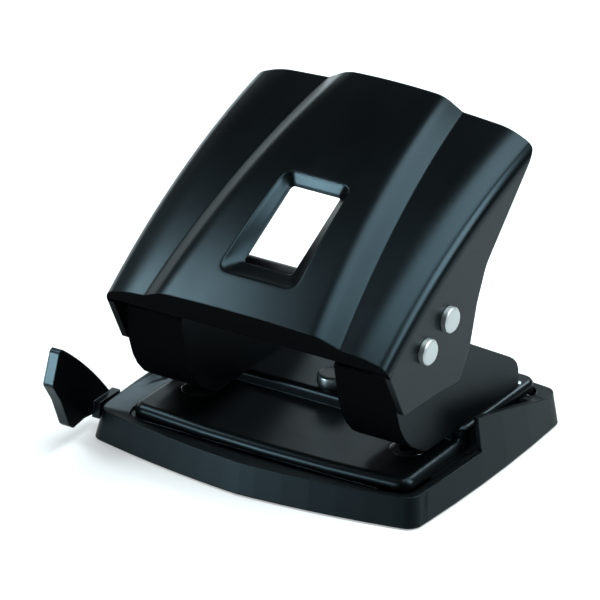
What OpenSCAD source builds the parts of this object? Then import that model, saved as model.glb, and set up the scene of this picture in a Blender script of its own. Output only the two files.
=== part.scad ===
// Two-hole lever punch for loose sheets: a moulded chip tray on a rubber mat, a pressed steel
// table plate with two punch brackets, a moulded lever with a window, two sprung punches and a
// sheet guide that slides out of the tray's left side.
// X runs to the right, Y to the rear and Z up, in millimetres. The origin is on the table, under
// the middle of the line through the two punches.

/* [Hole pattern] */
// distance between the centres of the two holes
hole_pitch = 80; // [70:1:90]
// punch diameter
punch_d = 5.5; // [4.5:0.1:6.5]
// sheet edge to hole centres, set by the step of the table plate
edge_margin = 12; // [9:0.5:16]
// clear height of the sheet slot
slot_h = 4.5; // [4:0.1:6]

/* [Tray] */
// width of the tray at its front corners, on the table
tray_w = 123; // [116:1:150]
// hole line to the tray's front corners
tray_front = 31; // [29:0.5:45]
// hole line to the tray's rear edge
tray_rear = 64.5; // [62:0.5:80]
// how far the front edge stands out at its middle
tray_bow = 9; // [4:0.5:16]
// how far each side stands out at its middle
tray_bulge = 1.5; // [0.5:0.5:4]
// height of the front rim
rim_z = 10.5; // [10:0.5:14]
// height of the side walls just behind the sheet edge
shoulder_z = 21.8; // [18:0.2:28]
// height of the side walls at the rear corners
rear_rim_z = 11; // [11:0.2:18]
// share of its width that the tray loses over one rim height
tray_draft = 0.03; // [0.01:0.005:0.05]
// wall thickness of the tray
tray_wall = 2.2; // [1.6:0.1:3]
// floor thickness of the tray
tray_floor = 1.8; // [1.2:0.1:3]
// height that the rubber mat lifts the tray off the table
mat_lift = 0.6; // [0.4:0.1:1]
// thickness of the mat, the rest of which sits in the tray's floor
mat_t = 1.2; // [1:0.1:1.6]

/* [Table plate] */
// width of the table plate
plate_w = 106.6; // [100:0.2:112]
// hole line to the plate's front corners
plate_front = 21.5; // [18:0.5:24]
// hole line to the plate's rear edge
plate_rear = 59.2; // [54:0.2:70]
// how far the plate's front edge stands out at its middle
plate_bow = 2.5; // [0:0.5:4]
// height of the table surface that sheets lie on
table_z = 11; // [10.5:0.5:14]
// thickness of the plate and bracket steel
sheet = 1.5; // [1:0.1:2]
// lowest edge of the plate's turned-down flange
flange_z = 7.5; // [7:0.1:8.5]
// gap between the plate and the tray around it
plate_gap = 1; // [0.8:0.1:2]

/* [Lever] */
// width of the lever
lever_w = 107.2; // [106:0.2:112]
// wall thickness of the lever
lever_wall = 2.2; // [1.6:0.1:3]
// radius of the lever's long arch, measured to its crown
arch_r = 271.5; // [220:0.5:320]
// arch centre behind the hole line
arch_y = 122; // [100:0.1:140]
// arch centre below the table
arch_drop = 154.4; // [130:0.1:190]
// lowest edge of the lever's side skirts
skirt_z = 34.5; // [32:0.5:40]
// rear end of the lever behind the hole line, at its middle
lever_rear = 55.8; // [50:0.2:62]
// how far the lever's rear edge stands out at its middle
rear_bow = 1.8; // [0.4:0.2:6]
// lean of the lever's front face from upright, in degrees
front_lean = 27; // [15:1:35]
// top of the front face at the crown, in front of the hole line
front_reach = 38.8; // [36:0.2:42]
// step between the crown and the side panels, measured square to the arch
crown_step = 4.8; // [2:0.2:7]
// how much lower the step is at the rear than at the front
panel_rise = 0.7; // [0:0.1:3]
// half width at which the step lies, halfway along the lever
step_x = 27.4; // [20:0.2:34]
// angle by which each step runs in towards the rear
step_taper = 5.5; // [0:0.1:9]
// width of the window, at its lower edge
window_w = 18.6; // [12:0.2:24]
// length of the window, at its lower edge
window_l = 33; // [20:0.5:40]
// width of the window's bevel at its rear end and at the rear of its sides
window_bevel = 2.4; // [1:0.1:4]
// width of the long ramp at the window's front end
window_ramp = 9; // [2:0.5:10]

/* [Mechanism] */
// pivot pins in front of the hole line
pivot_y = -12; // [-14:0.2:-10]
// pivot pins above the table
pivot_z = 54; // [50:0.5:58]
// drive shaft behind the hole line
drive_y = 1.2; // [0:0.2:3]
// drive shaft above the table
drive_z = 60; // [57:0.5:63]
// diameter of the pivot pins and of the drive shaft
pin_d = 6; // [5:0.1:7]
// diameter of the pins' bright heads
head_d = 8.6; // [8:0.1:11]
// full turn of the lever
press_angle = 26; // [20:0.5:28]
// distance between the two side plates of a bracket, inside
channel_w = 19; // [17:0.5:20]
// wire of the punch springs
spring_wire = 1.3; // [1:0.1:1.5]
// turns of each punch spring
spring_turns = 8; // [5:1:9]

/* [Sheet guide] */
// width of the guide bar
bar_w = 8; // [7:0.1:9]
// thickness of the guide bar
bar_t = 3.6; // [2.5:0.1:3.8]
// travel of the guide, from shut to a sheet edge 148.5 mm from the middle
guide_travel = 83.4; // [60:0.2:84]
// thickness of the upright fin
fin_t = 3.8; // [2.5:0.1:5]

/* [Hidden] */
eps = 0.01;
half_w = tray_w / 2;
lever_half = lever_w / 2;
run_gap = 0.06;      // running clearance around a turning pin, on the radius
seat_gap = 0.02;     // clearance around a pin that stays still in its hole
side_gap = 0.4;      // clearance between the lever's skirts and the brackets
floor_z = mat_lift + tray_floor;
mat_inset = 5;       // edge of the mat, in from the edge of the plate above it
ledge_drop = 2.2;    // fall of the front rim towards the groove around the plate
raised_z = table_z + slot_h;
bracket_out = hole_pitch / 2 + channel_w / 2 + sheet;
bracket_in = hole_pitch / 2 - channel_w / 2 - sheet;
bore_r = punch_d / 2 + 0.05;
// hinge between the plate and the tray, near the rear corners
hinge_y = plate_rear - 8;
hinge_z = table_z - 0.2;
hinge_r = 1.5;
// punch stack, from the guide bush up to the head under the drive shaft
bush_flange = 1.5;
bush_flange_z = raised_z + sheet;
spring_z0 = bush_flange_z + bush_flange;
head_top_z = drive_z - pin_d / 2 - 0.3;
cup_z = head_top_z - 7.7;
spring_r = punch_d / 2 + 2.4;
// guide bar, low in the tray in front of the dies
bar_y = -18.6;
bar_z0 = floor_z + 0.8;
fin_x = -(half_w + 3.6);
leaf_gap = 0.3;
click_x = -44;

// ---- helpers ---------------------------------------------------------------------------------

// a cylinder lying along X, from x0 to x1, at a height and depth
module rod_x(x0, x1, y, z, r)
  translate([x0, y, z]) rotate([0, 90, 0]) cylinder(h = x1 - x0, r = r, $fn = 64);

// a side profile drawn in Y and Z, given a width along X
module across(x0, x1)
  translate([x0, 0, 0]) rotate([90, 0, 90]) linear_extrude(height = x1 - x0) children();

// rounds the outward corners of an outline
module soften(r)
  offset(r = r, $fn = 32) offset(delta = -r) children();

// rounds the inward corners of an outline
module fill_in(r)
  offset(r = -r, $fn = 32) offset(delta = r) children();

// the same piece on the left (-1) or on the right (1)
module on_side(side) mirror([side < 0 ? 1 : 0, 0, 0]) children();

// ---- chip tray -------------------------------------------------------------------------------

// Outline on the table: two gently curved front halves that meet in a soft crease, curved sides
// and a curved rear edge, with round corners.
module tray_outline(inset = 0) {
  front_r = 375;
  side_r = 600;
  rear_r = 700;
  half_chord = sqrt(half_w * half_w + tray_bow * tray_bow) / 2;
  reach = sqrt(front_r * front_r - half_chord * half_chord);
  mid_y = (tray_rear - tray_front) / 4;
  offset(delta = -inset) soften(5)
    intersection_for(side = [-1, 1])
      intersection() {
        translate([side * (half_w / 2 - reach * tray_bow / (2 * half_chord)),
                   -tray_front - tray_bow / 2 + reach * half_w / (2 * half_chord)])
          circle(r = front_r, $fn = 240);
        translate([side * (half_w + tray_bulge - side_r), mid_y])
          circle(r = side_r, $fn = 240);
        translate([0, tray_rear - rear_r]) circle(r = rear_r, $fn = 360);
      }
}

// Outline of the table plate, grown by a clearance or shrunk by a wall.
module plate_outline(grow = 0, front = plate_front, bow = plate_bow)
  offset(delta = grow) soften(5) intersection() {
    bow_r = (plate_w * plate_w / 4 + bow * bow) / (2 * max(bow, 0.1));
    translate([0, bow_r - front - bow]) circle(r = bow_r, $fn = 360);
    translate([-plate_w / 2, -front - bow]) square([plate_w, front + bow + plate_rear]);
  }

// Walls drawn in towards the top: what a moulded tray needs to leave its mould. The rear wall
// stands nearly upright, and the front leans most.
module drafted(h, inset = 0) {
  upright_y = tray_rear - 12;
  translate([0, upright_y, mat_lift])
    linear_extrude(height = h, scale = 1 - tray_draft * h / rim_z)
      translate([0, -upright_y]) tray_outline(inset);
}

// Everything above the tray's top line: level at the front, a shoulder behind the sheet edge
// and a slightly convex fall to the rear corners.
module above_rim() {
  top = shoulder_z + 2;
  fall_l = plate_rear - 4 - edge_margin;
  across(-half_w - 10, half_w + 10)
    polygon(concat(
      [[-60, top], [-60, rim_z], [edge_margin - 1.5, rim_z]],
      [for (t = [0:0.125:1])
        [edge_margin - 0.5 + t * fall_l, rear_rim_z + (shoulder_z - rear_rim_z) * (1 - pow(t, 1.15))]],
      [[tray_rear + 10, rear_rim_z], [tray_rear + 10, top]]));
}

// Room between the side walls and the plate, behind the shoulders.
module beside_plate() {
  y0 = edge_margin - 8;
  y1 = plate_rear - 14;
  intersection() {
    drafted(shoulder_z + 2 - mat_lift, tray_wall * 0.8);
    translate([-half_w, y0, rim_z - ledge_drop]) linear_extrude(height = shoulder_z)
      soften(4) square([tray_w, y1 - y0]);
  }
}

// The front rim falls inwards to the groove around the plate.
module rim_fall() {
  fall = ledge_drop / 5; // fall of the ledge for each millimetre inwards
  hull()
    for (level = [[1, rim_z - ledge_drop - 3 * fall - 1], [0, rim_z + fall]])
      translate([0, 0, level[1]]) linear_extrude(height = 1)
        intersection() {
          if (level[0] > 0) plate_outline(plate_gap - 3);
          else tray_outline(tray_wall * 0.9 - 1);
          translate([-half_w, -60]) square([tray_w, 60 + edge_margin - 1]);
        }
}

module guide_slot(x0, x1, gap)
  translate([x0, bar_y - bar_w / 2 - gap, bar_z0 - gap])
    cube([x1 - x0, bar_w + 2 * gap, bar_t + 2 * gap]);

module chip_tray() {
  color([0.07, 0.08, 0.09]) {
    difference() {
      drafted(shoulder_z + 1 - mat_lift);
      above_rim();
      rim_fall();
      beside_plate();
      // the pan that catches the chips, with the plate lying in its mouth
      translate([0, 0, floor_z]) linear_extrude(height = shoulder_z) plate_outline(plate_gap);
      // hollow under the rim, open from below
      translate([0, 0, mat_lift - 1]) linear_extrude(height = rim_z - ledge_drop - tray_wall)
        difference() {
          tray_outline(tray_wall + 0.8);
          plate_outline(plate_gap + tray_wall * 0.8);
          // solid left end of the rim beside the guide bar
          translate([-half_w - 5, bar_y - bar_w / 2 - 2.5]) square([20, bar_w + 5]);
        }
      guide_slot(-half_w - 5, -plate_w / 2 + 5, 0.25);
      linear_extrude(height = mat_t) plate_outline(0.1 - mat_inset);
    }
    // ledges that the plate's side flanges lie on
    for (side = [-1, 1])
      translate([side * (plate_w / 2 - 1.5) - 2.5, -8, floor_z - eps])
        cube([5, hinge_y - 8, flange_z - 0.1 - floor_z]);
    // round nibs in the side walls, which the plate turns on
    for (side = [-1, 1])
      on_side(side) rod_x(plate_w / 2 - sheet - 0.2, plate_w / 2 + plate_gap + 0.5,
                          hinge_y, hinge_z, hinge_r);
    // low rails behind the guide bar, on both sides of the click spring
    for (x = [click_x - 9.2, click_x + 5.6])
      translate([x, bar_y + bar_w / 2 + 0.3, floor_z - eps]) cube([3.6, 1.2, 2.4]);
    // posts that hold the click spring
    for (x = [click_x - 7.2, click_x + 5.6])
      translate([x, bar_y + bar_w / 2 + 2.6, floor_z - eps]) cube([1.6, 3.6, 3.6]);
  }
}

// Rubber mat glued into a shallow recess under the tray's floor.
module non_slip_mat()
  color([0.12, 0.12, 0.12])
    linear_extrude(height = mat_t) plate_outline(-mat_inset);

// Bent leaf whose bump drops into the notches of the guide bar.
module guide_click_spring() {
  bump_r = 3.5;
  leaf_t = 0.5;
  leaf_y = bar_y + bar_w / 2 + leaf_gap + bump_r;
  color([0.75, 0.76, 0.78])
    translate([click_x, leaf_y, floor_z + 0.6]) linear_extrude(height = 3)
      union() {
        difference() {
          circle(r = bump_r, $fn = 48);
          circle(r = bump_r - leaf_t, $fn = 48);
          translate([-10, 0]) square([20, 10]);
        }
        for (s = [-1, 1])
          translate([s > 0 ? bump_r - leaf_t : -bump_r - 1.9, -eps]) square([2.4, leaf_t]);
      }
}

// ---- sheet guide -----------------------------------------------------------------------------

// Leaf-shaped outline of the fin, in Y and Z, with a curved rear edge.
module fin_outline()
  soften(1.6) intersection() {
    polygon([[-40.5, 36.2], [-43.3, 36], [-47.8, 24.4], [-43.2, 17.3], [-40.4, 10.7], [-38.8, 6.8],
             [-36.5, 5], [-30, 5.9], [-15.5, 4.2], [-15.5, 11.2], [-20, 30]]);
    translate([-130.8, -82.8]) circle(r = 148, $fn = 360);
  }

notch_at = [0, 8.9, 39.9, 83.4]; // guide travel for each common sheet length

module paper_guide() {
  bar_x1 = -half_w - 1.2 + guide_travel + 22;
  arm_z1 = rim_z - 0.7;
  bar_rear = bar_y + bar_w / 2;
  color([0.06, 0.07, 0.08]) {
    across(fin_x - fin_t, fin_x) fin_outline();
    // block between the fin and the tray
    translate([fin_x - 0.5, bar_y - 6.2, bar_z0 + 0.9])
      cube([-half_w - 2 - fin_x + 0.5 + 0.9, 12, arm_z1 - bar_z0 - 0.9]);
    difference() {
      translate([fin_x - 0.5, bar_y - bar_w / 2, bar_z0])
        cube([bar_x1 - fin_x + 0.5, bar_w, bar_t]);
      for (travel = notch_at)
        translate([click_x + travel, bar_rear + 3.5 + leaf_gap - 1, bar_z0 - 1])
          cylinder(h = bar_t + 2, r = 3.8, $fn = 48);
      // long relief that saves material between the bar's edges
      translate([-40, bar_y - 1.5, bar_z0 + 1.2]) cube([bar_x1 + 40 - 8, 3, bar_t]);
    }
  }
}

// ---- table plate -----------------------------------------------------------------------------

// One corner of a pressed pan: an upright post with a rounded shoulder.
module pan_post(r, h, shoulder)
  rotate_extrude($fn = 32) {
    square([r, h - shoulder]);
    square([r - shoulder, h]);
    translate([r - shoulder, h - shoulder]) intersection() {
      circle(r = shoulder, $fn = 32);
      square(shoulder);
    }
  }

corner_r = 5;

// Upside-down pan of sheet steel between two depths, with an optional bowed front edge.
module pressed_pan(y0, y1, bow, z0, z1, shoulder, wall = 0) {
  r = corner_r - wall;
  x_end = plate_w / 2 - corner_r;
  hull()
    for (i = bow > 0 ? [-2:2] : [-2, 2]) {
      x = x_end * i / 2;
      translate([x, y0 + corner_r - bow * (1 - i * i / 4), z0]) pan_post(r, z1 - wall - z0, shoulder - wall);
      if (abs(i) == 2)
        translate([x, y1 - corner_r, z0]) pan_post(r, z1 - wall - z0, shoulder - wall);
    }
}

rivet_at = [for (dx = [-6, 6], y = [edge_margin + 9, plate_rear - 17]) [dx, y]];
end_rivet_at = [plate_w / 2 - 3.1, plate_rear - 8.1];
stud_y = edge_margin + 5.6;
stud_shank = 2.4;

module table_plate() {
  round_low = 3;
  round_high = 2;
  color([0.05, 0.055, 0.06])
    difference() {
      union() {
        pressed_pan(-plate_front, edge_margin + 2 * corner_r + 4, plate_bow, flange_z, table_z, round_low);
        pressed_pan(edge_margin, plate_rear, 0, flange_z, raised_z, round_high);
      }
      // hollow underside
      pressed_pan(-plate_front, edge_margin + 2 * corner_r + 4, plate_bow, flange_z - 1, table_z,
                  round_low, sheet);
      pressed_pan(edge_margin, plate_rear, 0, flange_z - 1, raised_z, round_high, sheet);
      for (side = [-1, 1]) {
        translate([side * hole_pitch / 2, 0, 0]) cylinder(h = 20, r = 6 + seat_gap, $fn = 64);
        for (p = rivet_at)
          translate([side * hole_pitch / 2 + p[0], p[1], 0]) cylinder(h = 20, r = 1.6, $fn = 32);
        on_side(side) rod_x(plate_w / 2 - sheet - 2, plate_w / 2 + 2, hinge_y, hinge_z, hinge_r + run_gap);
      }
      for (x = [-end_rivet_at[0], end_rivet_at[0]])
        translate([x, end_rivet_at[1], 0]) cylinder(h = 20, r = 0.75 + seat_gap, $fn = 32);
      translate([0, stud_y, 0]) cylinder(h = 20, r = stud_shank + seat_gap, $fn = 48);
    }
}

// Small bright rivet near each rear corner of the plate.
module end_rivet(side)
  color([0.7, 0.72, 0.73])
    translate([side * end_rivet_at[0], end_rivet_at[1], raised_z])
      rotate_extrude($fn = 32)
        polygon([[0, -sheet - 0.5], [1, -sheet - 0.5], [1, -sheet], [0.75, -sheet], [0.75, 0],
                 [1.2, 0], [1.1, 0.4], [0.7, 0.7], [0, 0.8]]);

// Short bright stud on the middle line, just behind the sheet step.
module centre_stud() {
  r = 5.1;
  h = 4.7;
  color([0.8, 0.82, 0.84])
    translate([0, stud_y, raised_z])
      rotate_extrude($fn = 64) {
        polygon([[0, 0], [r - 0.9, 0], [r - 0.2, 0.8], [r, 1.8], [r, h - 0.9], [r - 0.9, h],
                 [r - 1.6, h - 0.3], [0, h - 0.3]]);
        translate([0, -sheet - 1]) square([stud_shank, sheet + 1 + eps]);
        translate([0, -sheet - 1]) square([stud_shank + 1, 1]);
      }
}

// ---- punch brackets --------------------------------------------------------------------------

// Side outline of a bracket: a rounded nose over the sheet slot, an ear around the pivot and the
// shaft slot, and a rear wing that falls to the plate.
module bracket_outline() {
  foot_y1 = plate_rear - 9.4;
  fill_in(5) soften(1.5) union() {
    polygon([[-24.5, 36], [-22.5, 30], [-19.8, 25.4], [-16, 21.2], [-11.8, 18.4], [-9.2, 16.9],
             [-6.6, raised_z], [foot_y1, raised_z], [foot_y1, 21.5], [foot_y1 - 0.9, 24],
             [foot_y1 - 3, 26.4], [foot_y1 - 6, 28.5], [19.6, 43], [12, 48], [-20, 56]]);
    hull() {
      translate([pivot_y, pivot_z]) circle(r = pin_d / 2 + 4, $fn = 48);
      translate([drive_y, drive_z]) circle(r = pin_d / 2 + 3.2, $fn = 48);
      translate([drive_y + 3, 40]) circle(r = 6, $fn = 48);
    }
    translate([-24.5, 36]) rotate(12) translate([0, -2]) square([16, 16]);
  }
}

// Curved slot in which the drive shaft swings about the pivot.
module shaft_slot() {
  swing_r = norm([drive_y - pivot_y, drive_z - pivot_z]);
  start = atan2(drive_z - pivot_z, drive_y - pivot_y);
  r = pin_d / 2 + 0.35;
  translate([pivot_y, pivot_z]) {
    rotate(start - press_angle - 1) intersection() {
      difference() {
        circle(r = swing_r + r - 0.05, $fn = 128);
        circle(r = swing_r - r + 0.05, $fn = 128);
      }
      polygon([[0, 0], [40, 0], [40 * cos(press_angle + 1), 40 * sin(press_angle + 1)]]);
    }
    for (a = [start - press_angle - 1, start])
      rotate(a) translate([swing_r, 0]) circle(r = r, $fn = 48);
  }
}

// Room between the side plates: all but the folded band, which closes the front, runs down the
// nose and under the punch, and ends as the foot on the plate.
module channel_room() {
  offset(delta = -sheet) bracket_outline();
  difference() {
    translate([-60, 0]) square([60 + plate_rear, 80]);
    polygon([[-40, 10], [plate_rear - 5, 10], [plate_rear - 5, raised_z + sheet],
             [-5, raised_z + sheet + 4], [-14, 30], [-14, 49], [-40, 49]]);
  }
}

module bracket(side)
  color([0.05, 0.055, 0.06])
    on_side(side)
      difference() {
        across(bracket_in, bracket_out) bracket_outline();
        across(bracket_in + sheet, bracket_out - sheet) channel_room();
        across(bracket_in - 1, bracket_out + 1) shaft_slot();
        rod_x(bracket_in - 1, bracket_out + 1, pivot_y, pivot_z, pin_d / 2 + seat_gap);
        translate([hole_pitch / 2, 0, raised_z - 1]) cylinder(h = 6, r = 4.8 + seat_gap, $fn = 64);
        for (p = rivet_at)
          translate([hole_pitch / 2 + p[0], p[1], raised_z - 1]) cylinder(h = 4, r = 1.6, $fn = 32);
      }

module bracket_rivets(side)
  color([0.2, 0.21, 0.22])
    for (p = rivet_at)
      translate([side * hole_pitch / 2 + p[0], p[1], raised_z])
        rotate_extrude($fn = 32) {
          translate([0, -sheet - 0.6]) square([1.55, 2 * sheet + 0.6 + eps]);
          translate([0, -sheet - 0.6]) square([2.4, 0.6]);
          polygon([[0, sheet], [2.6, sheet], [2.3, sheet + 0.8], [1.2, sheet + 1.3], [0, sheet + 1.4]]);
        }

// ---- punches ---------------------------------------------------------------------------------

// Hardened ring in the table plate, flush with its top, relieved below the cutting edge.
module die_ring(side)
  color([0.72, 0.73, 0.75])
    translate([side * hole_pitch / 2, 0, table_z])
      rotate_extrude($fn = 64)
        polygon([[bore_r, 0], [6, 0], [6, -sheet], [7.6, -sheet], [7.6, -sheet - 1.5],
                 [bore_r + 0.7, -sheet - 1.5], [bore_r + 0.7, -1.6], [bore_r, -1.2]]);

// Flanged bush pressed into the bracket's floor, which keeps the punch upright.
module punch_bush(side)
  color([0.6, 0.61, 0.63])
    translate([side * hole_pitch / 2, 0, raised_z])
      rotate_extrude($fn = 64)
        polygon([[bore_r, 0], [4.8, 0], [4.8, sheet], [5.9, sheet], [5.9, sheet + bush_flange],
                 [4.1, sheet + bush_flange], [4.1, sheet + 8.5], [3.7, sheet + 9], [bore_r, sheet + 9]]);

// Turned punch: slim shank with a hollow cutting end, and a thicker head under the drive shaft.
module punch(side) {
  tip_z = raised_z + 0.2;
  shank_r = punch_d / 2;
  head_r = 3.9;
  color([0.78, 0.79, 0.81])
    translate([side * hole_pitch / 2, 0, 0])
      difference() {
        rotate_extrude($fn = 64)
          polygon([[0, tip_z], [shank_r, tip_z], [shank_r, cup_z + 1.2], [head_r, cup_z + 1.2],
                   [head_r, head_top_z - 0.5], [head_r - 0.5, head_top_z], [0, head_top_z]]);
        rod_x(-5, 5, 0, tip_z - 3.6, 4.4);
      }
}

// Stamped cup under the punch head that the spring pushes up against.
module spring_cup(side)
  color([0.7, 0.71, 0.73])
    translate([side * hole_pitch / 2, 0, cup_z])
      rotate_extrude($fn = 64)
        polygon([[punch_d / 2 + seat_gap, 0], [spring_r + 0.9, 0], [spring_r + 0.9, -1.6],
                 [spring_r + 1.6, -1.6], [spring_r + 1.6, 0.9], [spring_r + 1.3, 1.2],
                 [punch_d / 2 + seat_gap, 1.2]]);

// Helix of round wire as one unbroken tube.
module wire_helix(r, wire_r, z0, z1, turns) {
  rings = 8;
  sides = 6;
  steps = rings * turns;
  climb = (z1 - z0) / (turns * 360);
  lean = atan(climb * 180 / PI / r);
  pts = [for (i = [0:steps], j = [0:sides - 1])
    let (a = i * 360 / rings, b = j * 360 / sides,
         out = r + wire_r * cos(b),
         up = z0 + climb * a + wire_r * sin(b) * cos(lean),
         along = wire_r * sin(b) * sin(lean))
    [out * cos(a) + along * sin(a), out * sin(a) - along * cos(a), up]];
  sides_of = [for (i = [0:steps - 1], j = [0:sides - 1])
    let (k = (j + 1) % sides, p = i * sides, q = p + sides)
    each [[p + j, p + k, q + k], [p + j, q + k, q + j]]];
  ends = concat([for (j = [1:sides - 2]) [0, j + 1, j]],
                [for (j = [1:sides - 2]) [steps * sides, steps * sides + j, steps * sides + j + 1]]);
  turn_gaps = [for (i = [0:steps - rings])
    norm([0, 0, climb * 360]) * cos(lean) - 2 * wire_r];
  echo(least_gap_between_turns = min(turn_gaps));
  polyhedron(points = pts, faces = concat(sides_of, ends), convexity = 10);
}

module punch_spring(side)
  color([0.75, 0.76, 0.78])
    translate([side * hole_pitch / 2, 0, 0])
      wire_helix(spring_r, spring_wire / 2, spring_z0 + spring_wire / 2 + 0.05,
                 cup_z - spring_wire / 2 - 0.05, spring_turns);

// ---- lever -----------------------------------------------------------------------------------

arch_z = -arch_drop;
arch_mid = 25.8;     // direction of the arch at the middle of the lever, from upright
window_turn = 28.65; // direction of the arch at the middle of the window
section_low = 205;   // inner radius of the solids turned about the arch

// A section drawn in radius and X, turned about the lever's arch axis. A skew turns it a little
// about the line that stands square on the middle of the lever.
module about_arch(skew = 0, shift = [0, 0])
  translate([0, arch_y + shift[0], arch_z + shift[1]])
    rotate(a = skew, v = [0, -sin(arch_mid), cos(arch_mid)])
      rotate([0, 90, 0]) rotate([0, 0, 185])
        rotate_extrude(angle = 46, $fn = 180) children();

// The side panels turn about an axis of their own, so that they run up to the crown at the rear
// and keep their full depth below it at the front.
front_turn = asin((arch_y + front_reach) / arch_r);
rear_turn = asin((arch_y - lever_rear) / arch_r);
panel_shift = panel_rise / sin(front_turn - rear_turn) * [cos(front_turn), sin(front_turn)];

// Side panels and skirts, with a soft crease between them.
module side_section(wall) {
  panel_r = arch_r - crown_step;
  edge = lever_half;
  offset(delta = -wall) soften(6)
    polygon([[section_low, -edge], [panel_r - 4, -edge], [panel_r - 0.8, 8 - edge], [panel_r, 20 - edge],
             [panel_r, edge - 20], [panel_r - 0.8, edge - 8], [panel_r - 4, edge], [section_low, edge]]);
}

// Crown between the two steps, slightly rounded across.
module crown_section(wall) {
  camber_r = 435;
  top = arch_r - wall;
  polygon(concat([[section_low, -44]],
                 [for (x = [-44:11:44]) [top - x * x / (2 * camber_r), x]],
                 [[section_low, 44]]));
}

// What lies inside the sloping face of one step.
module step_section(side, wall) {
  slope = 1.9;       // width of the step over its height
  mid_r = arch_r - crown_step / 2;
  x_mid = step_x - wall * 0.8;
  high = arch_r + 6;
  polygon([[section_low, -side * 90], [high, -side * 90],
           [high, side * (x_mid - (high - mid_r) * slope)],
           [section_low + 30, side * (x_mid + (mid_r - section_low - 30) * slope)],
           [section_low, side * (x_mid + (mid_r - section_low - 30) * slope)]]);
}

// Outline of the lever from the side, before the arch cuts its top: leaning front face, level
// skirt and the hollow rear edge that rises to the grip.
module lever_outline()
  soften(2) fill_in(12) {
    front_low_y = -front_reach + (crown_front_z - skirt_z - 1.5) * tan(front_lean);
    front_high_y = -front_reach - 30 * tan(front_lean);
    polygon([[front_high_y, crown_front_z + 30], [front_low_y, skirt_z + 1.5], [-4, skirt_z + 1.2],
             [9, skirt_z], [15.1, 44.5], [19.4, 58.5], [24.8, 69.6], [lever_rear - 4, 96.5],
             [lever_rear - 2, 99], [lever_rear + 10, 112], [lever_rear + 10, 130]]);
  }

// Everything in front of the lever's bowed rear edge, or of the inside of its rear wall.
module before_rear(inset = 0) {
  bow_r = (lever_half * lever_half + rear_bow * rear_bow) / (2 * rear_bow);
  translate([0, lever_rear - bow_r, skirt_z - 20])
    cylinder(h = 120, r = bow_r - inset, $fn = 720);
}

crown_front_z = arch_z + sqrt(pow(arch_r, 2) - pow(arch_y + front_reach, 2));

module lever_top(wall) {
  about_arch(0, panel_shift) side_section(wall);
  intersection() {
    about_arch() crown_section(wall);
    about_arch(step_taper) step_section(1, wall);
    about_arch(-step_taper) step_section(-1, wall);
  }
}

// Space under the shell, open below and behind the skirts.
module lever_hollow() {
  lean_in = lever_wall / cos(front_lean);
  intersection() {
    lever_top(lever_wall);
    across(-lever_half + lever_wall, lever_half - lever_wall)
      polygon([[-front_reach - 30 * tan(front_lean) + lean_in, crown_front_z + 30],
               [-front_reach + 60 * tan(front_lean) + lean_in, crown_front_z - 60],
               [lever_rear + 20, 0], [lever_rear + 20, 130]]);
    before_rear(lever_wall);
  }
}

// Solid with round corners that lies square to the arch at the window, grown from the window's
// own size by a share of its bevel: little at the rear, most at the front.
module window_block(grow, z0, z1, r, spare = 0) {
  rear = window_bevel * grow + spare;
  ramp = window_ramp * grow + spare;
  half = window_w / 2;
  translate([0, 0, z0]) linear_extrude(height = z1 - z0)
    soften(r) polygon([[-half - rear, window_l / 2 + rear], [half + rear, window_l / 2 + rear],
                       [half + ramp * 0.8, -window_l / 2 - ramp],
                       [-half - ramp * 0.8, -window_l / 2 - ramp]]);
}

module at_window()
  translate([0, arch_y, arch_z]) rotate([window_turn, 0, 0]) translate([0, 0, arch_r]) children();

module lever() {
  collar_depth = 5;
  bevel_depth = 4.5;
  flange_depth = 10.4;
  color([0.06, 0.065, 0.07])
    difference() {
      union() {
        difference() {
          intersection() {
            lever_top(0);
            across(-lever_half, lever_half) lever_outline();
            before_rear();
          }
          lever_hollow();
          // the front face is only a flange between the skirts
          translate([-lever_half + lever_wall, -60, 0])
            cube([lever_w - 2 * lever_wall, 60 + pivot_y, crown_front_z - flange_depth]);
        }
        // collar around the window, and two ribs under the shell
        intersection() {
          union() {
            at_window() window_block(1, -collar_depth, 6, 5, 2);
            difference() {
              for (x = [-22, 22], w = 1.8)
                translate([x - w / 2, -60, 40]) cube([w, 130, 80]);
              about_arch() translate([section_low - 1, -60]) square([arch_r - 9 - section_low, 120]);
            }
          }
          lever_top(0.4);
          across(-30, 30)
            polygon([[-front_reach - 29 * tan(front_lean), crown_front_z + 30],
                     [-front_reach + 61 * tan(front_lean), crown_front_z - 60],
                     [lever_rear + 20, 0], [lever_rear + 20, 130]]);
          before_rear(1);
        }
      }
      at_window() {
        window_block(0, -collar_depth - 10, 6, 1.5);
        hull() {
          window_block(0, -bevel_depth, 1 - bevel_depth, 2, 0.5);
          window_block(1 + 3 / bevel_depth, 3, 4, 5, 0.5);
        }
      }
      rod_x(-lever_half - 1, lever_half + 1, pivot_y, pivot_z, pin_d / 2 + run_gap);
      rod_x(-lever_half - 1, lever_half + 1, drive_y, drive_z, pin_d / 2 + seat_gap);
    }
}

// ---- pins ------------------------------------------------------------------------------------

head_t = 2.4;
head_gap = 0.1;

// Domed head of a pin, with its axis along X and its inner face at x = 0.
module pin_head()
  rotate([0, 90, 0]) rotate_extrude($fn = 64)
    polygon([[0, 0], [head_d / 2, 0], [head_d / 2, head_t - 0.6], [head_d / 2 - 0.6, head_t],
             [0, head_t + 0.15]]);

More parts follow.
